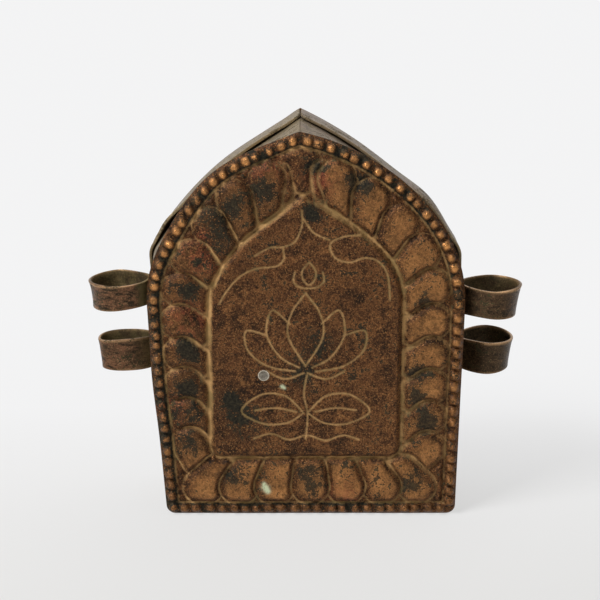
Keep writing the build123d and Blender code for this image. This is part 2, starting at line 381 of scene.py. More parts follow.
# sizes of the grains are in millimetres
faceLook = {
    "fine": 0.36, "speck": 0.6, "cloud": 2.4, "blotch": 8.0, "streak": (1.0, 1.0, 1.0),
    "dark": (36, 25, 15), "brown": (90, 58, 34), "copper": (152, 100, 56), "bright": (220, 156, 94),
    "red": (120, 60, 42), "green": (196, 204, 168), "patchTone": (21, 20, 15), "patchTint": (54, 48, 33),
    "dustAndLight": (190, 150, 98), "dustTint": (152, 124, 78),
    "dusty": 0.9, "patch": 0.06, "pits": 0.9, "glints": 0.35, "wear": 0.2,
    "metal": 0.42, "wornMetal": 0.9, "mattMetal": 0.05,
    "roughness": 0.42, "wornRoughness": 0.22, "mattRoughness": 0.75,
    "sheen": 0.18, "bump": 1.0, "pit": 0.32,
}
bandLook = dict(
    faceLook, speck=0.8, cloud=7.0, blotch=12.0, streak=(1.0, 4.0, 1.0),
    dark=(78, 68, 50), brown=(134, 119, 93), copper=(182, 166, 140), bright=(196, 174, 136),
    red=(132, 114, 108), patchTone=(60, 54, 38), patchTint=(106, 92, 66),
    dustAndLight=(126, 80, 62), dustTint=(112, 74, 60),
    patch=0.2, pits=0.6, wear=0.25, metal=0.45, roughness=0.45, bump=0.7, pit=0.2)
loopLook = dict(
    faceLook, speck=0.5, cloud=3.0, blotch=6.0, streak=(1.0, 1.0, 2.5),
    dark=(36, 29, 20), brown=(64, 50, 35), copper=(96, 72, 50), bright=(186, 148, 108),
    red=(124, 86, 62), patchTone=(30, 27, 18), patchTint=(66, 60, 36),
    dustAndLight=(106, 94, 60), dustTint=(66, 56, 38),
    dusty=0.8, patch=0.1, pits=0.6, glints=0.25, metal=0.6, roughness=0.38, bump=0.6, pit=0.14)
backLook = dict(
    faceLook, cloud=5.0, blotch=15.0, dark=(64, 48, 35), brown=(106, 80, 58), copper=(144, 108, 78),
    patch=0.05, pits=0.5, bump=0.45, pit=0.12)
rivetLook = dict(
    loopLook, dark=(96, 90, 80), brown=(138, 130, 118), copper=(166, 158, 144), bright=(226, 214, 192),
    patchTone=(80, 74, 64), patchTint=(108, 100, 88), patch=-0.1, pits=0.5)
faceCopper = agedCopper("aged_face_copper", faceLook)
bandCopper = agedCopper("grey_green_sheet", bandLook)
loopCopper = agedCopper("dark_strip_copper", loopLook)
backCopper = agedCopper("brown_sheet_copper", backLook)
rivetTin = agedCopper("dull_tin", rivetLook)
print("materials ready")


# A sheet cut to an outline: fine triangles in front, coarser ones behind, joined round the edge
def plateFrom(name, outline, frontCell, backCell, frontAt, backAt):
    ring = [(number, (number + 1) % len(outline)) for number in range(len(outline))]
    sheets = []
    for cell in (frontCell, backCell):
        low, high = outline.min(0), outline.max(0)
        rows = []
        for number, height in enumerate(np.arange(low[1], high[1], cell * math.sqrt(0.75))):
            across = np.arange(low[0] + (number % 2) * cell / 2, high[0], cell)
            rows.append(np.stack([across, np.full(len(across), height)], 1))
        inner = np.concatenate(rows)
        inner = inner[depthInside(inner, outline) > 0.6 * cell]  # none too close to the edge
        flat = np.concatenate([outline, inner])
        made = geometry.delaunay_2d_cdt([Vector(point) for point in flat], ring, [], 1, 1e-7)
        sheets.append((np.array([tuple(point) for point in made[0]]), made[2]))
    (front, frontFaces), (back, backFaces) = sheets
    start = len(front)
    points = np.concatenate([
        np.stack([front[:, 0], frontAt(front), front[:, 1]], 1),
        np.stack([back[:, 0], backAt(back), back[:, 1]], 1),
    ])
    faces = [tuple(face) for face in frontFaces]
    faces += [tuple(start + corner for corner in reversed(face)) for face in backFaces]
    faces += [(first, start + first, start + second, second) for first, second in ring]
    return pieceFrom(name, points, faces), front


# Rivet in the niche: flat tinned head, shank, peened end
rivetShape = {
    "x": -10.4, "height": 38.6, "start": -11.6, "corners": 36, "wear": 0.9, "wearFrom": 1.15, "wearTo": 1.3,
    "profile": [(0.75, 0.0), (0.9, 0.06), (0.9, 0.36), (0.5, 0.4), (0.5, 1.1), (1.4, 1.12), (1.45, 1.2),
                (1.4, 1.38), (1.25, 1.4), (1.12, 1.32), (0.6, 1.34), (0.3, 1.35)],
}
# Face: bead border, lotus petals, raised niche with engraved lines
faceShape = {
    "seed": 11, "frontCell": 0.33, "backCell": 0.7, "edgeStep": 0.36, "edgeRound": 0.7, "edgeDrop": 0.4,
    "border": 3.3, "borderGroove": 0.28, "borderGrooveWidth": 0.3,
    "nicheStep": 0.8, "nicheRise": 1.3, "nicheSlope": 1.5, "nicheGroove": 0.2, "nicheGrooveWidth": 0.35,
    "petalRise": 1.6, "petalReach": 1.5, "rootOut": 3.3, "tipIn": 7.7, "rootRadius": 4.5, "tipRadius": 4.8,
    "rim": 0.32, "rimWidth": 0.4, "body": 0.46, "bodyIn": 0.55,
    "crown": 0.22, "crownFrom": 0.6, "crownTo": 4.4,
    "sidePetals": 10, "sideBelow": 4.1, "sideEnd": 0.871, "budShare": 0.938,
    "tiltLeft": 0.036, "tiltRight": 0.028, "levelLeft": 0.024, "levelRight": 0.02,
    "bottomPetals": 7, "bottomMiddle": 1.2, "bottomRootPitch": 7.8, "bottomTipPitch": 9.1,
    "side": (1.0, 1.0, 1.0), "bud": (0.6, 0.66, 0.75),  # shares of root radius, tip radius and rise
    "ridgePetal": (0.75, 1.12, 0.62), "bottom": (1.0, 1.08, 1.0),
    "grooveNarrow": 0.1, "grooveWide": 0.26, "shingle": 0.24, "shade": (0.6, -0.8),
    "fill": 0.8, "fillFrom": 0.25, "fillTo": 1.3,  # the ground between petals
    "beadPitch": 3.1, "beadInset": 1.75, "beadLength": 1.36, "beadWidth": 1.3, "beadRise": 1.25,
    "squareLeft": (2.0, 2.4), "squareRight": (2.4, 3.4),
    "lineDepth": 0.24, "lineWidth": 0.26,
    "hammered": ((0.10, 9.0, 1.0), (0.06, 3.2, 5.0), (0.16, 26.0, 8.0)),  # depth, size, seed
}
curtainLines = [
    [(-0.9, 80.7), (-0.9, 76.9), (-2.6, 73.0), (-5.5, 71.7), (-8.8, 71.5), (-12.6, 69.6)],
    [(-5.5, 71.3), (-5.3, 68.7), (-7.2, 66.8), (-12.2, 66.3), (-16.4, 64.4), (-19.4, 60.9), (-21.3, 57.3)],
    [(-0.5, 78.6), (1.9, 75.2), (5.7, 73.4)],
    [(13.1, 74.5), (9.8, 74.4), (6.5, 73.0), (5.9, 71.3), (7.4, 68.7), (10.7, 67.8), (14.4, 68.9),
     (17.8, 67.8), (19.9, 64.4), (20.6, 58.2)],
]
# a plain engraved lotus: half of it, mirrored, then its stem and water lines
lotusHalf = [
    [(0.0, 60.0), (3.6, 54.5), (4.2, 48.5), (0.0, 41.0)],
    [(3.9, 52.0), (8.2, 55.5), (9.6, 49.5), (6.4, 43.5), (1.6, 40.6)],
    [(9.4, 49.0), (14.6, 50.2), (14.2, 45.0), (9.4, 41.0), (2.6, 39.6)],
    [(0.4, 39.2), (5.2, 37.6), (9.8, 39.8)],
    [(0.5, 28.5), (5.0, 33.0), (11.0, 33.4), (16.0, 29.0), (10.6, 25.6), (4.6, 25.8), (0.5, 28.5)],
    [(2.4, 28.8), (7.4, 29.8), (12.6, 29.2)],
]
lotusPlain = [
    [(0.9, 67.8), (2.4, 65.6), (2.2, 63.4), (0.8, 62.0), (-0.6, 63.4), (-0.8, 65.6), (0.9, 67.8)],
    [(-2.6, 65.2), (-2.9, 62.8), (-1.2, 61.4), (0.8, 61.2), (2.9, 61.5), (4.4, 62.9), (4.2, 65.3)],
    [(0.3, 38.6), (-0.4, 33.5), (0.5, 28.0), (0.0, 21.5)],
    [(-13.0, 21.6), (-8.6, 22.8), (-4.2, 21.2), (0.4, 22.4), (5.0, 21.0), (9.4, 22.4), (13.4, 21.2)],
]


def splineThrough(points, spacing=0.2):
    knots = np.array([points[0], *points, points[-1]], float)
    made = []
    for before, start, end, after in zip(knots, knots[1:], knots[2:], knots[3:]):
        share = np.linspace(0, 1, 24)[:, None]
        made.append(0.5 * (2 * start + (end - before) * share
                           + (2 * before - 5 * start + 4 * end - after) * share ** 2
                           + (3 * start - before - 3 * end + after) * share ** 3))
    return evenly(np.concatenate(made), spacing)


# Root, tip and shares of every petal, in the order in which they overlap: what comes later lies on top
def petalPlaces(shape):
    rootOut, tipIn = shape["rootOut"], shape["tipIn"]
    upper = ("wall", "shoulder", "roof")
    petals = []
    for side in sides:
        roots = archHalf(nicheArch, side, -rootOut, upper)[0]
        roots = np.concatenate([[roots[0] - (0, shape["sideBelow"])], roots])
        tips = archHalf(faceArch, side, tipIn, upper)[0]
        tips = tips[tips[:, 1] >= nicheArch["foot"]]
        shares = np.linspace(0, shape["sideEnd"], shape["sidePetals"])
        level = shape["level" + side] * np.sin(math.pi * shares / shape["sideEnd"])
        tipShares = shares + shape["tilt" + side] - level
        for root, tip in zip(pointsAt(roots, shares + level), pointsAt(tips, tipShares)):
            petals.insert(0, (root, tip, shape["side"]))
        bud = shape["budShare"]
        petals.insert(0, (pointsAt(roots, bud)[0], pointsAt(tips, bud)[0], shape["bud"]))
    petals.insert(0, (roots[-1], tips[-1], shape["ridgePetal"]))
    fromMiddle = np.arange(shape["bottomPetals"]) - (shape["bottomPetals"] - 1) / 2
    for number in sorted(fromMiddle, key=lambda number: -abs(number)):
        rootX = shape["bottomMiddle"] + number * shape["bottomRootPitch"]
        tipX = shape["bottomMiddle"] + number * shape["bottomTipPitch"]
        root = np.array([rootX, nicheArch["foot"] - rootOut])
        petals.append((root, np.array([tipX, tipIn]), shape["bottom"]))
    return petals


# Distance to a petal's outline: a long drop, narrow at the root and wide at the tip
def petalDistance(points, root, tip, rootRadius, tipRadius):
    axis = tip - root
    length = np.linalg.norm(axis)
    axis = axis / length
    offset = points - root
    along = offset @ axis
    across = np.abs(offset @ np.array([-axis[1], axis[0]]))
    fall = (rootRadius - tipRadius) / length
    rise = math.sqrt(max(1 - fall * fall, 0.0))
    side = -fall * across + rise * along
    return np.where(
        side < 0, np.hypot(across, along) - rootRadius,
        np.where(side > rise * length, np.hypot(across, along - length) - tipRadius,
                 rise * across + fall * along - rootRadius))


def lineDistance(points, line):
    found = np.full(len(points), 9.0)
    near = np.flatnonzero((points > line.min(0) - 2).all(1) & (points < line.max(0) + 2).all(1))
    for start in range(0, len(near), 4000):
        part = near[start:start + 4000]
        gap = points[part][:, None, :] - line[None, :, :]
        found[part] = np.sqrt((gap ** 2).sum(2).min(1))
    return found


# Petals laid over each other like scales: depth inside the top one, its lift, distance to the nearest
def petalLayers(points, shape, draw):
    inside = np.zeros(len(points))
    lift = np.zeros(len(points))
    nearest = np.full(len(points), 9.0)
    for root, tip, (rootShare, tipShare, riseShare) in petalPlaces(shape):
        rootRadius = shape["rootRadius"] * rootShare * draw.uniform(0.96, 1.04)
        tipRadius = shape["tipRadius"] * tipShare * draw.uniform(0.96, 1.03)
        rise = shape["petalRise"] * riseShare * draw.uniform(0.86, 1.04)
        near = np.flatnonzero(np.hypot(*(points - (root + tip) / 2).T) < 14)
        gap = petalDistance(points[near], root, tip, rootRadius, tipRadius)
        axis = (tip - root) / np.linalg.norm(tip - root)
        aside = np.array([-axis[1], axis[0]])
        aside = aside if aside @ shape["shade"] > 0 else -aside
        over = np.clip((points[near] - root) @ aside / tipRadius, -1, 1)
        inside[near] = np.where(gap < 0, -gap, np.minimum(inside[near], 1.5 * gap))
        lift[near] = np.where(gap < 0, rise * (1 + shape["shingle"] * over), lift[near])
        nearest[near] = np.minimum(nearest[near], gap)
    return inside, lift, nearest


# Raises uneven beads along the border, square ones on the right: their domes, and how bright their crowns
# are: rubbed metal that doubles as painted highlight, fading as painted shade toward the bottom row
def raiseBeads(points, relief, shape, draw):
    beadTop = np.zeros(len(points))
    beadWearAndShine = np.zeros(len(points))
    for side in sides:
        line = archHalf(faceArch, side, shape["beadInset"])[0]
        count = round(lengthAlong(line)[-1] / shape["beadPitch"])
        for number in range(count):
            share = (number + 0.5 + draw.uniform(-0.12, 0.12)) / count
            centre = pointsAt(line, share)[0]
            ahead = pointsAt(line, min(share + 0.004, 1.0))[0] - pointsAt(line, share - 0.004)[0]
            ahead = ahead / np.linalg.norm(ahead)
            near = np.flatnonzero(np.hypot(*(points - centre).T) < 2.4)
            offset = points[near] - centre
            length = shape["beadLength"] * draw.uniform(0.84, 1.1)
            width = shape["beadWidth"] * draw.uniform(0.88, 1.1)
            square = draw.uniform(*shape["square" + side])
            reach = (np.abs(offset @ ahead / length) ** square
                     + np.abs(offset @ np.array([-ahead[1], ahead[0]]) / width) ** square) ** (1 / square)
            dome = np.clip(1 - reach ** 2.2, 0, 1) ** 0.75
            # bead crowns brighter higher up: rubbed metal that also stands in as painted highlight, with the
            # bottom row left dark as painted shade
            brightByHeight = 0.15 + 0.17 * smooth(3, 12, centre[1]) + 0.68 * smooth(40, 70, centre[1])
            crownBright = draw.uniform(0.35, 1.0) * brightByHeight
            beadTop[near] = np.maximum(beadTop[near], dome)
            beadWearAndShine[near] = np.maximum(beadWearAndShine[near], crownBright * dome ** 3)
            relief[near] = np.maximum(relief[near], shape["beadRise"] * draw.uniform(0.78, 1.1) * dome)
    return beadTop, beadWearAndShine


def engravedDistance(points):
    lines = [splineThrough(line) for line in curtainLines + lotusHalf + lotusPlain]
    lines += [splineThrough([(-x, z) for x, z in line]) for line in lotusHalf]
    return np.min([lineDistance(points, line) for line in lines], axis=0)


# dark, green and red stains: place across, height, size
patinaSpots = [
    (3.5, 46.0, 5.0), (-1.5, 39.0, 4.5), (-16.5, 26.0, 5.5), (-18.5, 33.0, 4.0), (1.6, 79.7, 2.4),
    (29.1, 57.8, 2.6), (27.1, 39.3, 2.8), (30.5, 26.2, 3.4), (-29.0, 45.0, 3.2), (-29.2, 35.6, 3.4),
    (-29.4, 27.6, 3.6), (-28.8, 19.4, 4.0), (-22.4, 79.2, 5.0), (-10.3, 86.5, 4.0), (11.7, 87.8, 3.2),
    (1.5, 91.4, 2.6), (27.1, 9.7, 4.2), (1.1, 9.7, 4.4), (-18.7, 10.3, 3.0), (-28.8, 60.4, 2.6),
    (-27.6, 69.0, 1.7), (-22.6, 74.0, 4.2), (27.6, 33.0, 2.4), (14.5, 86.0, 2.2), (-17.5, 83.0, 2.6),
]
verdigrisSpots = [
    (-10.2, 7.9, 0.85), (-9.6, 6.9, 0.6), (-10.6, 9.0, 0.4), (-5.8, 35.6, 0.45), (-5.2, 35.2, 0.3),
]
redSpots = [
    (3.9, 88.2, 3.5), (-9.6, 91.4, 4.0), (-26.0, 70.0, 4.0), (10.0, 6.0, 4.0), (-33.0, 30.0, 4.0),
    (-26.1, 76.0, 1.5), (-29.8, 71.2, 1.7), (-29.0, 53.0, 5.0),
]
spotShape = {"small": 3.5, "smallShare": 1.6, "patinaSpread": 0.85, "patina": 0.66, "verdigris": 1.4}


def spotted(points, spots, spread=1.0, smallShare=1.0):
    total = np.zeros(len(points))
    for x, z, size in spots:
        share = smallShare if size < spotShape["small"] else 1.0
        total += share * bell(np.hypot(points[:, 0] - x, points[:, 1] - z), spread * size)
    return total


# Stains of the face: dust in the grooves, painted light in the same tan on slopes and rims toward the lamp,
# rubbed metal on petals and beads, dark, green and red spots, and painted shade with the patina between the
# beads
def faceStains(points, shape, form):
    edge, niche, inside, groove = form["edge"], form["niche"], form["inside"], form["groove"]
    across, height = points.T
    flat = np.c_[points, np.zeros(len(points))]
    rub = 0.62 + 0.55 * waves(flat, 5.0, 12.0) + 0.35 * waves(flat, 1.4, 15.0)
    # a weight that grows toward the upper left, where the key lamp lights the relief: painted light that
    # lightens the tan there
    fromMiddle = np.stack([(across + 1) / 25, (height - 50) / 34], 1)
    litSide = fromMiddle @ np.array([-0.75, 0.66]) / np.maximum(np.hypot(*fromMiddle.T), 0.2)
    litSide = smooth(-0.6, 0.6, litSide)
    rightward = smooth(-20, 30, across)
    lowRight = smooth(8, 28, across) * smooth(76, 62, height)
    beadGaps = (1 - form["beadTop"]) * (1 - 0.8 * lowRight)

    outline = np.minimum(np.abs(inside), np.abs(form["nearest"]))
    deep = np.maximum(smooth(-11.0, -3.0, niche), smooth(13.5, 9.0, height))
    # dust in the grooves round the petals, a little stronger on the lamp side as painted light
    petalDustAndLight = bell(outline, groove + 0.08 + 0.1 * deep) * (form["field"] > -0.2) * (0.75 + 0.25 * litSide)
    petalDustAndLight *= (0.55 + 0.45 * deep) * (1 - 0.3 * smooth(76, 86, height))
    # painted light: the tan band on the niche's raised slope is strongest where the slope faces the lamp;
    # the groove at its foot holds dust
    nicheDustAndLight = bell(niche - 0.45, 0.55) * (0.2 + 0.8 * litSide) + 0.5 * bell(niche + 0.2, 0.28)
    # tan on the petal rims: painted light on the lamp side, lighter tone on the lower right petals
    rimDustAndLight = bell(inside - groove - 0.4, 0.4) * (0.3 * litSide + 0.5 * lowRight)
    borderDust = bell(edge - shape["border"], shape["borderGrooveWidth"])
    residueAndLight = rub * (petalDustAndLight * 1.3 + rimDustAndLight + 1.15 * nicheDustAndLight + 0.8 * borderDust)
    residueAndLight = np.clip(residueAndLight + 0.85 * bell(form["engraved"], 0.29), 0, 1)

    rubbed = 0.1 + 0.3 * np.maximum(rightward, smooth(22, 12, height))
    crowns = smooth(0.5, 0.95, form["pillow"] / shape["petalRise"])
    wear = np.clip(1.5 * form["beadWearAndShine"] + rubbed * crowns * (rub + 0.3), 0, 1.5)

    patina = spotted(points, patinaSpots, spotShape["patinaSpread"], spotShape["smallShare"])
    patina = np.clip(patina, 0, 1.7) * spotShape["patina"]
    # partly patina, partly painted shade: a dark line along the inner foot of the bead row
    patina = np.maximum(patina, 0.8 * bell(edge - 2.9, 0.35) * beadGaps)
    patina += 0.1 * (1 - rightward) * smooth(14, 22, height) * (niche < 0)
    # partly patina, partly painted shade: darker gaps between the beads
    patina += 0.5 * bell(edge - 1.6, 1.5) * beadGaps
    return {
        "residueAndLight": residueAndLight, "wear": wear, "patina": patina,
        "verdigris": np.clip(spotted(points, verdigrisSpots) * spotShape["verdigris"], 0, 1),
        "red": np.clip(spotted(points, redSpots), 0, 1),
    }


# How far the face stands out at each point, with its stains where they are wanted
def faceRelief(points, shape, fine=True):
    draw = np.random.default_rng(shape["seed"])
    edge = depthInside(points, faceOutline)
    niche = depthInside(points, nicheOutline)
    inside, lift, nearest = petalLayers(points, shape, draw)
    field = np.minimum(edge - shape["border"], -niche)
    inside = np.minimum(np.where(nearest > 0, -nearest, inside), field)
    groove = shape["grooveNarrow"] + (shape["grooveWide"] - shape["grooveNarrow"]) * bell(niche, 5.0)
    rim = smooth(groove, groove + shape["rimWidth"], inside)
    body = 1 - (1 - np.clip((inside - groove - shape["bodyIn"]) / shape["petalReach"], 0, 1)) ** 2.2
    crown = smooth(shape["crownFrom"], shape["crownTo"], inside)
    pillow = lift * (shape["rim"] * rim + shape["body"] * body + shape["crown"] * crown)
    relief = pillow + shape["fill"] * smooth(shape["fillFrom"], shape["fillTo"], np.minimum(nearest, field))
    relief += shape["nicheRise"] * smooth(-0.1, shape["nicheSlope"], niche)
    if not fine:
        return relief, {}
    beadTop, beadWearAndShine = raiseBeads(points, relief, shape, draw)
    flat = np.c_[points, np.zeros(len(points))]
    engraved = engravedDistance(points) + 0.05 * np.abs(waves(flat, 1.6, 3.0))
    relief -= shape["lineDepth"] * bell(engraved, shape["lineWidth"])
    relief -= shape["borderGroove"] * bell(edge - shape["border"], shape["borderGrooveWidth"])
    relief -= shape["nicheGroove"] * bell(niche + 0.25, shape["nicheGrooveWidth"])
    relief -= shape["edgeDrop"] * (1 - smooth(0, shape["edgeRound"], edge))
    hammered = sum(depth * waves(flat, size, seed) for depth, size, seed in shape["hammered"])
    fromRivet = np.hypot(points[:, 0] - rivetShape["x"], points[:, 1] - rivetShape["height"])
    relief += hammered * (1 - bell(fromRivet, 3.0))  # flat under the rivet's head
    return relief, faceStains(points, shape, {
        "edge": edge, "niche": niche, "inside": inside, "nearest": nearest, "field": field, "groove": groove,
        "pillow": pillow, "beadTop": beadTop, "beadWearAndShine": beadWearAndShine, "engraved": engraved,
    })


faceOutline = closedArch(faceArch, faceShape["edgeStep"])
nicheOutline = closedArch(nicheArch, faceShape["nicheStep"])
face, faceGrid = plateFrom(
    "face", faceOutline, faceShape["frontCell"], faceShape["backCell"],
    lambda points: faceFront - faceRelief(points, faceShape)[0],
    lambda points: faceBack - faceRelief(points, faceShape, False)[0])
for name, values in faceRelief(faceGrid, faceShape)[1].items():
    stain(face, name, values)
seat(face, "front_shell", "face_plate", faceCopper, 75)
print("face done:", len(face.data.polygons), "faces")


# Walls: strips of sheet bent round the arch, two to each shell, with an open seam along the ridge
def bentSheet(name, along, across, pointsFrom):
    bpy.ops.object.select_all(action='DESELECT')
    bpy.ops.mesh.primitive_grid_add(x_subdivisions=along, y_subdivisions=across, size=1)
    obj = bpy.context.object
    obj.name = name
    share, side = corners(obj)[:, :2].T + 0.5
    obj.data.vertices.foreach_set("co", (settle(pointsFrom(share, side)) * mm).ravel())
    obj.data.update()
    return obj


def thicken(obj, width, bevel):
    applyModifier(obj, 'SOLIDIFY', thickness=width * mm, offset=-1.0, use_even_offset=True)
    applyModifier(
        obj, 'BEVEL', width=bevel * mm, segments=2, limit_method='ANGLE', angle_limit=math.radians(50))


def alongLine(line, normals, share):
    index = share * (len(line) - 1)
    at = np.arange(len(line))
    points = np.stack([np.interp(index, at, line[:, axis]) for axis in (0, 1)], 1)
    outward = np.stack([np.interp(index, at, normals[:, axis]) for axis in (0, 1)], 1)
    return points, outward


bandShape = {
    "along": 230, "across": 26, "bevel": 0.12, "dent": 0.3, "dentSize": 14.0,
    "frontSeam": 0.12, "rearSeam": 0.28, "notch": 0.55, "notchReach": 1.3,
    "wear": 0.6, "wearWidth": 0.3, "redLeft": 0.15, "redRight": 0.7, "rustLeft": 0.9, "rustRight": 0.4,
}
# the rim of the rear shell stands up at the left shoulder
rimLift = {
    "Left": {"height": 73.2, "spread": 3.7, "out": 0.8},
    "Right": {"height": 60.0, "spread": 9.0, "out": 0.3},
}


def rearWall(side):
    line, normals = archHalf(rearArch, side)
    lift = rimLift[side]

    def pointsFrom(share, across):
        across = across if side == "Left" else 1 - across
        depth = rearRim + (backInside - rearRim) * across
        parted = bandShape["rearSeam"] + bandShape["notch"] * bell(depth - rearRim, bandShape["notchReach"])
        points, outward = alongLine(line, normals, share * (1 - parted / lengthAlong(line)[-1]))
        rough = bandShape["dent"] * (0.5 + waves(np.c_[points, depth], bandShape["dentSize"], 2.0))
        rough = rough * smooth(6, 14, points[:, 1]) * smooth(1.0, 0.6, across)
        out = lift["out"] * bell(points[:, 1] - lift["height"], lift["spread"]) * (1 - across) ** 2 + rough
        moved = points + outward * out[:, None]
        return np.stack([moved[:, 0], depth, moved[:, 1]], 1)
    return pointsFrom


def frontWall(side):
    faceLine, normals = archHalf(faceArch, side, shellStep)
    rearLine = archHalf(rearArch, side, shellStep)[0]
    reach = 1 - bandShape["frontSeam"] / lengthAlong(rearLine)[-1]

    def pointsFrom(share, across):
        across = across if side == "Left" else 1 - across
        faceAt, outward = alongLine(faceLine, normals, share * reach)
        rearAt = alongLine(rearLine, normals, share * reach)[0]
        depth = faceBack + (sleeveEnd - faceBack) * across
        turn = smooth(0, 1, np.clip((depth - faceBack) / (rearRim - faceBack), 0, 1))[:, None]
        rough = -bandShape["dent"] * np.clip(waves(np.c_[faceAt, depth], bandShape["dentSize"], 6.0), 0, 1)
        moved = faceAt * (1 - turn) + rearAt * turn + outward * (rough * smooth(0, 0.1, across))[:, None]
        return np.stack([moved[:, 0], depth, moved[:, 1]], 1)
    return pointsFrom


for side in sides:
    for shell, wall in (("rear", rearWall), ("front", frontWall)):
        node = shell + "_band_" + side.lower()
        band = bentSheet(node + "_sheet", bandShape["along"], bandShape["across"], wall(side))
        thicken(band, sheet, bandShape["bevel"])
        rim = rearRim if shell == "rear" else faceBack
        at = places(band)
        rust = smooth(66, 40, at[:, 2]) * smooth(6, -8, at[:, 1])
        rustSpots = 0.6 * waves(at, 9.0, 3.0) + 0.4 * waves(at, 3.0, 7.0)
        rust = rust * smooth(-0.45, 0.35, rustSpots + 0.5 * rust - 0.2)
        stain(band, "wear", bandShape["wear"] * bell(at[:, 1] - rim, bandShape["wearWidth"]))
        stain(band, "red", np.full(len(at), bandShape["red" + side]))
        stain(band, "residueAndLight", bandShape["rust" + side] * rust)
        seat(band, shell + "_shell", node, bandCopper)
print("walls done")

# Back: plain sheet, a little dished and dented
backShape = {
    "cell": 1.1, "edgeStep": 0.8, "edgeRound": 1.2, "edgeDrop": 0.25,
    "dish": 0.35, "dishAt": 30.0, "dishWidth": 14.0, "dent": 0.18, "dentSize": 17.0,
}
backOutline = closedArch(rearArch, backShape["edgeStep"])


def backLevel(points):
    edge = depthInside(points, backOutline)
    flat = np.c_[points, np.zeros(len(points))]
    rough = backShape["dent"] * (waves(flat, backShape["dentSize"], 4.0) - 0.4)
    rough = rough - backShape["dish"] * bell(edge - backShape["dishAt"], backShape["dishWidth"])
    return rough * smooth(1.5, 7.0, edge)


def backRounding(points):
    return backShape["edgeDrop"] * (1 - smooth(0, backShape["edgeRound"], depthInside(points, backOutline)))


back = plateFrom(
    "back", backOutline, backShape["cell"], backShape["cell"],
    lambda points: backInside + backLevel(points),
    lambda points: backOutside + backLevel(points) - backRounding(points))[0]
seat(back, "rear_shell", "back_plate", backCopper)
print("back done")

# Strap loops: rings of bent strip on a small foot against the wall
frontLoop = {
    "shell": "front_shell", "inset": 1.0, "radius": 7.6, "depth": -5.4,
    "width": 1.0, "square": 1.0, "neckReach": -0.45,
}
rearLoop = dict(frontLoop, shell="rear_shell", inset=0.0, radius=7.3, depth=5.7, neckReach=0.2)
loopShapes = {
    "front_loop_left": dict(
        frontLoop, side="Left", top=62.1, strip=6.4, neck=0.1, neckFar=0.5, taper=0.03,
        flareTop=0.35, flareFoot=0.2, sway=0.18, phase=0.6, green=0.5, neckGreen=0.8, brown=0.9),
    "front_loop_right": dict(
        frontLoop, side="Right", top=60.4, strip=7.4, neck=0.3, neckFar=0.3, taper=0.07,
        flareTop=0.3, flareFoot=0.15, sway=0.2, phase=2.2, green=0.4, neckGreen=0.0, brown=0.15),
    "rear_loop_left": dict(
        rearLoop, side="Left", top=43.2, strip=8.2, neck=0.1, neckFar=0.1, taper=0.03,
        width=0.59, square=0.8, flareTop=0.25, flareFoot=0.2, sway=0.2, phase=4.0,
        green=0.6, neckGreen=0.6, brown=0.75),
    "rear_loop_right": dict(
        rearLoop, side="Right", top=42.9, strip=8.2, neck=0.25, neckFar=0.25, taper=0.06,
        flareTop=0.25, flareFoot=0.15, sway=0.2, phase=5.1, green=0.25, neckGreen=0.0, brown=0.0),
}
stripShape = {
    "round": 112, "across": 12, "bevel": 0.16, "merge": 1e-6,
    "wearTop": 0.8, "wearFoot": 0.5, "wearWidth": 0.3,
}
footShape = {
    "front_shell": {"from": faceBack + 3.0, "to": rearRim - 3.0},
    "rear_shell": {"from": rearRim + 1.0, "to": backOutside - 1.0},
    "thickness": 0.5, "bevel": 0.15,
}


def wallFrame(shape):
    sign = sides[shape["side"]]
    lean = math.radians(faceArch["lean" + shape["side"]])
    outward = np.array([sign * math.cos(lean), 0.0, -math.sin(lean)])
    upward = np.array([sign * math.sin(lean), 0.0, math.cos(lean)])
    foot = np.array([sign * faceArch["half" + shape["side"]], 0.0, 0.0])
    base = foot + upward * ((shape["top"] - shape["strip"]) / math.cos(lean)) - outward * shape["inset"]
    return sign, base, outward, upward


def power(value, exponent):
    return np.sign(value) * np.abs(value) ** exponent


def ringPoints(shape):
    sign, base, outward, upward = wallFrame(shape)

    def pointsFrom(share, across):
        turn = share * 2 * math.pi
        radius = shape["radius"]
        scale = 1 - shape["taper"] * (1 - across)
        flare = shape["flareTop"] * across ** 7 + shape["flareFoot"] * (1 - across) ** 7
        out = radius * scale * (1 + power(np.cos(turn), shape["square"]))
        neck = np.where(sign * np.sin(turn) < 0, shape["neck"], shape["neckFar"])
        pinch = 1 - neck * (1 - smooth(0, 1.25 * radius, out))
        aside = radius * scale * shape["width"] * power(np.sin(turn), shape["square"]) * pinch
        out = out + flare * np.clip(np.cos(turn) + 0.55, 0, 1)
        aside = aside + flare * np.sin(turn) * pinch
        rise = shape["strip"] * across + shape["sway"] * np.sin(2 * turn + shape["phase"]) * (2 * across - 1)
        points = base + out[:, None] * outward + rise[:, None] * upward
        points[:, 1] += shape["depth"] + sign * aside
        return points
    return pointsFrom


def loopFoot(name, shape):
    base, outward, upward = wallFrame(shape)[1:]
    bpy.ops.object.select_all(action='DESELECT')
    bpy.ops.mesh.primitive_cube_add(size=1)
    pad = bpy.context.object
    pad.name = name
    flat = corners(pad) + 0.5
    points = base + flat[:, :1] * footShape["thickness"] * outward + flat[:, 2:] * shape["strip"] * upward
    reach = footShape[shape["shell"]]
    points[:, 1] = reach["from"] + flat[:, 1] * (reach["to"] - reach["from"])
    pad.data.vertices.foreach_set("co", (settle(points) * mm).ravel())
    pad.data.update()
    pick(pad)
    bpy.ops.object.mode_set(mode='EDIT')
    bpy.ops.mesh.select_all(action='SELECT')
    bpy.ops.mesh.normals_make_consistent(inside=False)
    bpy.ops.object.mode_set(mode='OBJECT')
    applyModifier(pad, 'BEVEL', width=footShape["bevel"] * mm, segments=2)
    return pad


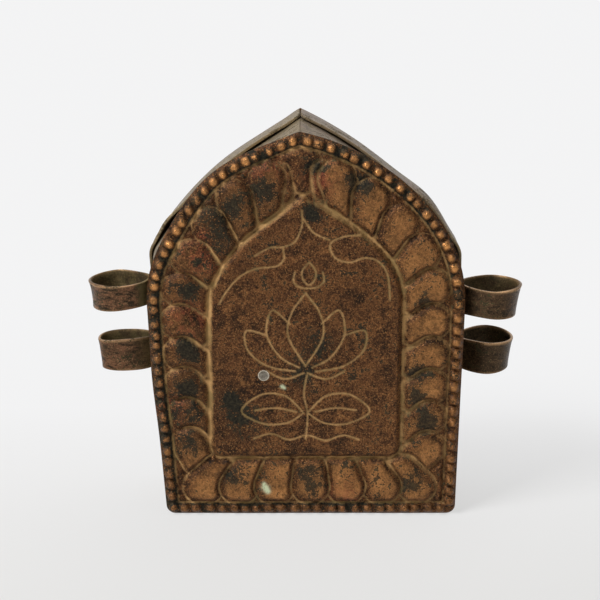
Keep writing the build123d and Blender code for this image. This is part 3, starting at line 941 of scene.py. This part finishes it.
# the rims of the strip are rubbed bright, its inside has turned green
def markStrip(ring, shape):
    base, outward, upward = wallFrame(shape)[1:]
    offset = places(ring) - base
    rise = offset @ upward
    rims = stripShape["wearTop"] * bell(rise - shape["strip"], stripShape["wearWidth"])
    rims = rims + stripShape["wearFoot"] * bell(rise, stripShape["wearWidth"])
    out = offset @ outward - shape["radius"]
    toMiddle = np.outer(-np.maximum(out, 0), outward)
    toMiddle[:, 1] = shape["depth"] - offset[:, 1]
    facing = np.array([tuple(vertex.normal) for vertex in ring.data.vertices])
    inward = (facing * toMiddle).sum(1) / np.maximum(np.linalg.norm(toMiddle, axis=1), 0.1)
    inside = smooth(0.2, 0.6, inward)
    neck = (1 - inside) * smooth(shape["neckReach"], -0.75, out / shape["radius"])
    stain(ring, "wear", np.clip(rims, 0, 1))
    stain(ring, "residueAndLight", shape["green"] * inside + shape["neckGreen"] * neck)
    stain(ring, "red", shape["brown"] * (1 - inside) * (1 - 0.7 * neck))


for node, shape in loopShapes.items():
    ring = bentSheet(node + "_strip", stripShape["round"], stripShape["across"], ringPoints(shape))
    bpy.ops.object.mode_set(mode='EDIT')
    bpy.ops.mesh.select_all(action='SELECT')
    bpy.ops.mesh.remove_doubles(threshold=stripShape["merge"])
    bpy.ops.object.mode_set(mode='OBJECT')
    thicken(ring, sheet, stripShape["bevel"])
    pad = loopFoot(node + "_foot", shape)
    pick(ring)
    pad.select_set(True)
    bpy.ops.object.join()
    markStrip(ring, shape)
    seat(ring, shape["shell"], node, loopCopper)
print("loops done")

# The rivet, drawn out along its profile from the peened end to the head
bpy.ops.object.select_all(action='DESELECT')
bpy.ops.mesh.primitive_circle_add(
    vertices=rivetShape["corners"], radius=rivetShape["profile"][0][0] * mm, fill_type='NGON')
rivet = bpy.context.object
rivet.name = "tinned_rivet"
bpy.ops.object.mode_set(mode='EDIT')
bpy.ops.mesh.select_all(action='SELECT')
for (before, low), (after, high) in zip(rivetShape["profile"], rivetShape["profile"][1:]):
    bpy.ops.mesh.extrude_region_move(TRANSFORM_OT_translate={"value": (0, 0, (high - low) * mm)})
    bpy.ops.transform.resize(value=(after / before, after / before, 1))
bpy.ops.mesh.select_all(action='SELECT')
bpy.ops.mesh.normals_make_consistent(inside=False)
bpy.ops.object.mode_set(mode='OBJECT')
rivet.rotation_euler = (math.pi / 2, 0, 0)
rivet.location = (rivetShape["x"] * mm, rivetShape["start"] * mm, rivetShape["height"] * mm)
bpy.ops.object.transform_apply(location=True, rotation=True, scale=True)
fromMiddle = places(rivet)[:, [0, 2]] - (rivetShape["x"], rivetShape["height"])
rivetRim = smooth(rivetShape["wearFrom"], rivetShape["wearTo"], np.hypot(*fromMiddle.T))
stain(rivet, "wear", rivetShape["wear"] * rivetRim)
seat(rivet, "front_shell", "face_rivet", rivetTin)
print("rivet done")

# Camera
shot = {
    "target": (0.0, 0.0, 54.1), "elevation": 18.0, "distance": 360.0,
    "lens": 85.3, "sensor": 36.0, "shiftX": -0.0092, "clipStart": 0.01,
}
target = Vector(shot["target"]) * mm
tilt = math.radians(shot["elevation"])
stand = target + Vector((0, -math.cos(tilt), math.sin(tilt))) * shot["distance"] * mm
bpy.ops.object.camera_add(location=stand)
camera = bpy.context.object
camera.rotation_euler = (target - stand).to_track_quat('-Z', 'Y').to_euler()
camera.data.lens = shot["lens"]
camera.data.sensor_width = shot["sensor"]
camera.data.shift_x = shot["shiftX"]
camera.data.clip_start = shot["clipStart"]
scene.camera = camera

# Pale floor that runs up into a backdrop, in metres
stage = {
    "width": 6.0, "front": -2.5, "bend": 1.1, "radius": 0.7, "top": 3.0, "bendSteps": 60,
    "colour": (0.74, 0.74, 0.74, 1.0), "roughness": 0.9, "sheen": 0.1, "world": 0.22,
    "glowNear": (0.745, 0.74, 0.725, 1.0), "glow": (0.9, 0.9, 0.905, 1.0),
    "nearFrom": -0.07, "nearTo": 0.06, "glowFrom": -0.06, "glowTo": 0.16, "glowLeast": 0.68,
}
bpy.ops.object.select_all(action='DESELECT')
bpy.ops.mesh.primitive_grid_add(x_subdivisions=2, y_subdivisions=stage["bendSteps"], size=1)
floor = bpy.context.object
floor.name = "studio_sweep"
arc = stage["radius"] * math.pi / 2
for vertex in floor.data.vertices:
    along = stage["front"] + (vertex.co.y + 0.5) * (stage["bend"] - stage["front"] + arc + stage["top"])
    turn = min(max((along - stage["bend"]) / stage["radius"], 0.0), math.pi / 2)
    y = min(along, stage["bend"]) + stage["radius"] * math.sin(turn)
    z = stage["radius"] * (1 - math.cos(turn)) + max(along - stage["bend"] - arc, 0.0)
    vertex.co = (vertex.co.x * stage["width"], y, z)
bpy.ops.object.shade_smooth()
paper = bpy.data.materials.new("pale_paper")
paper.use_nodes = True
tree = paper.node_tree
paperShader = tree.nodes["Principled BSDF"]
paperShader.inputs["Base Color"].default_value = stage["colour"]
paperShader.inputs["Roughness"].default_value = stage["roughness"]
paperShader.inputs["Specular IOR Level"].default_value = stage["sheen"]
floor.data.materials.append(paper)
place = addNode(tree, 'ShaderNodeTexCoord').outputs['Object']
away = addNode(tree, 'ShaderNodeSeparateXYZ', {0: place}).outputs[1]
rays = addNode(tree, 'ShaderNodeLightPath').outputs
seen = sums(tree, 'MAXIMUM', rays['Is Camera Ray'], sums(
    tree, 'MAXIMUM', rays['Is Glossy Ray'], rays['Is Transmission Ray']))
nearby = between(tree, away, stage["nearFrom"], stage["nearTo"])
glowColour = blendColour(tree, stage["glowNear"], stage["glow"], nearby)
glow = addNode(tree, 'ShaderNodeEmission', {'Color': glowColour}).outputs[0]
fade = addNode(tree, 'ShaderNodeMapRange', {
    0: away, 1: stage["glowFrom"], 2: stage["glowTo"], 3: stage["glowLeast"], 4: 1.0},
    interpolation_type='SMOOTHSTEP').outputs[0]
paperGlow = addNode(tree, 'ShaderNodeMixShader', {
    0: sums(tree, 'MULTIPLY', seen, fade), 1: paperShader.outputs[0], 2: glow}).outputs[0]
tree.links.new(paperGlow, tree.nodes["Material Output"].inputs["Surface"])

# Soft studio light: the main lamp above and to the left, weaker ones above and in front
lamps = {
    "key": {"at": (-0.65, -0.42, 0.85), "size": 0.42, "watts": 12.6},
    "top": {"at": (0.25, 0.25, 1.1), "size": 0.9, "watts": 3.5},
    "front": {"at": (0.55, -0.9, 0.4), "size": 0.9, "watts": 0.5},
}
for name, lamp in lamps.items():
    bpy.ops.object.light_add(type='AREA', location=lamp["at"])
    light = bpy.context.object
    light.name = name + "_lamp"
    light.data.size = lamp["size"]
    light.data.energy = lamp["watts"]
    light.rotation_euler = (target - light.location).to_track_quat('-Z', 'Y').to_euler()
world = bpy.data.worlds.new("studio")
scene.world = world
world.use_nodes = True
world.node_tree.nodes["Background"].inputs["Color"].default_value = (1, 1, 1, 1)
world.node_tree.nodes["Background"].inputs["Strength"].default_value = stage["world"]
print("stage ready")
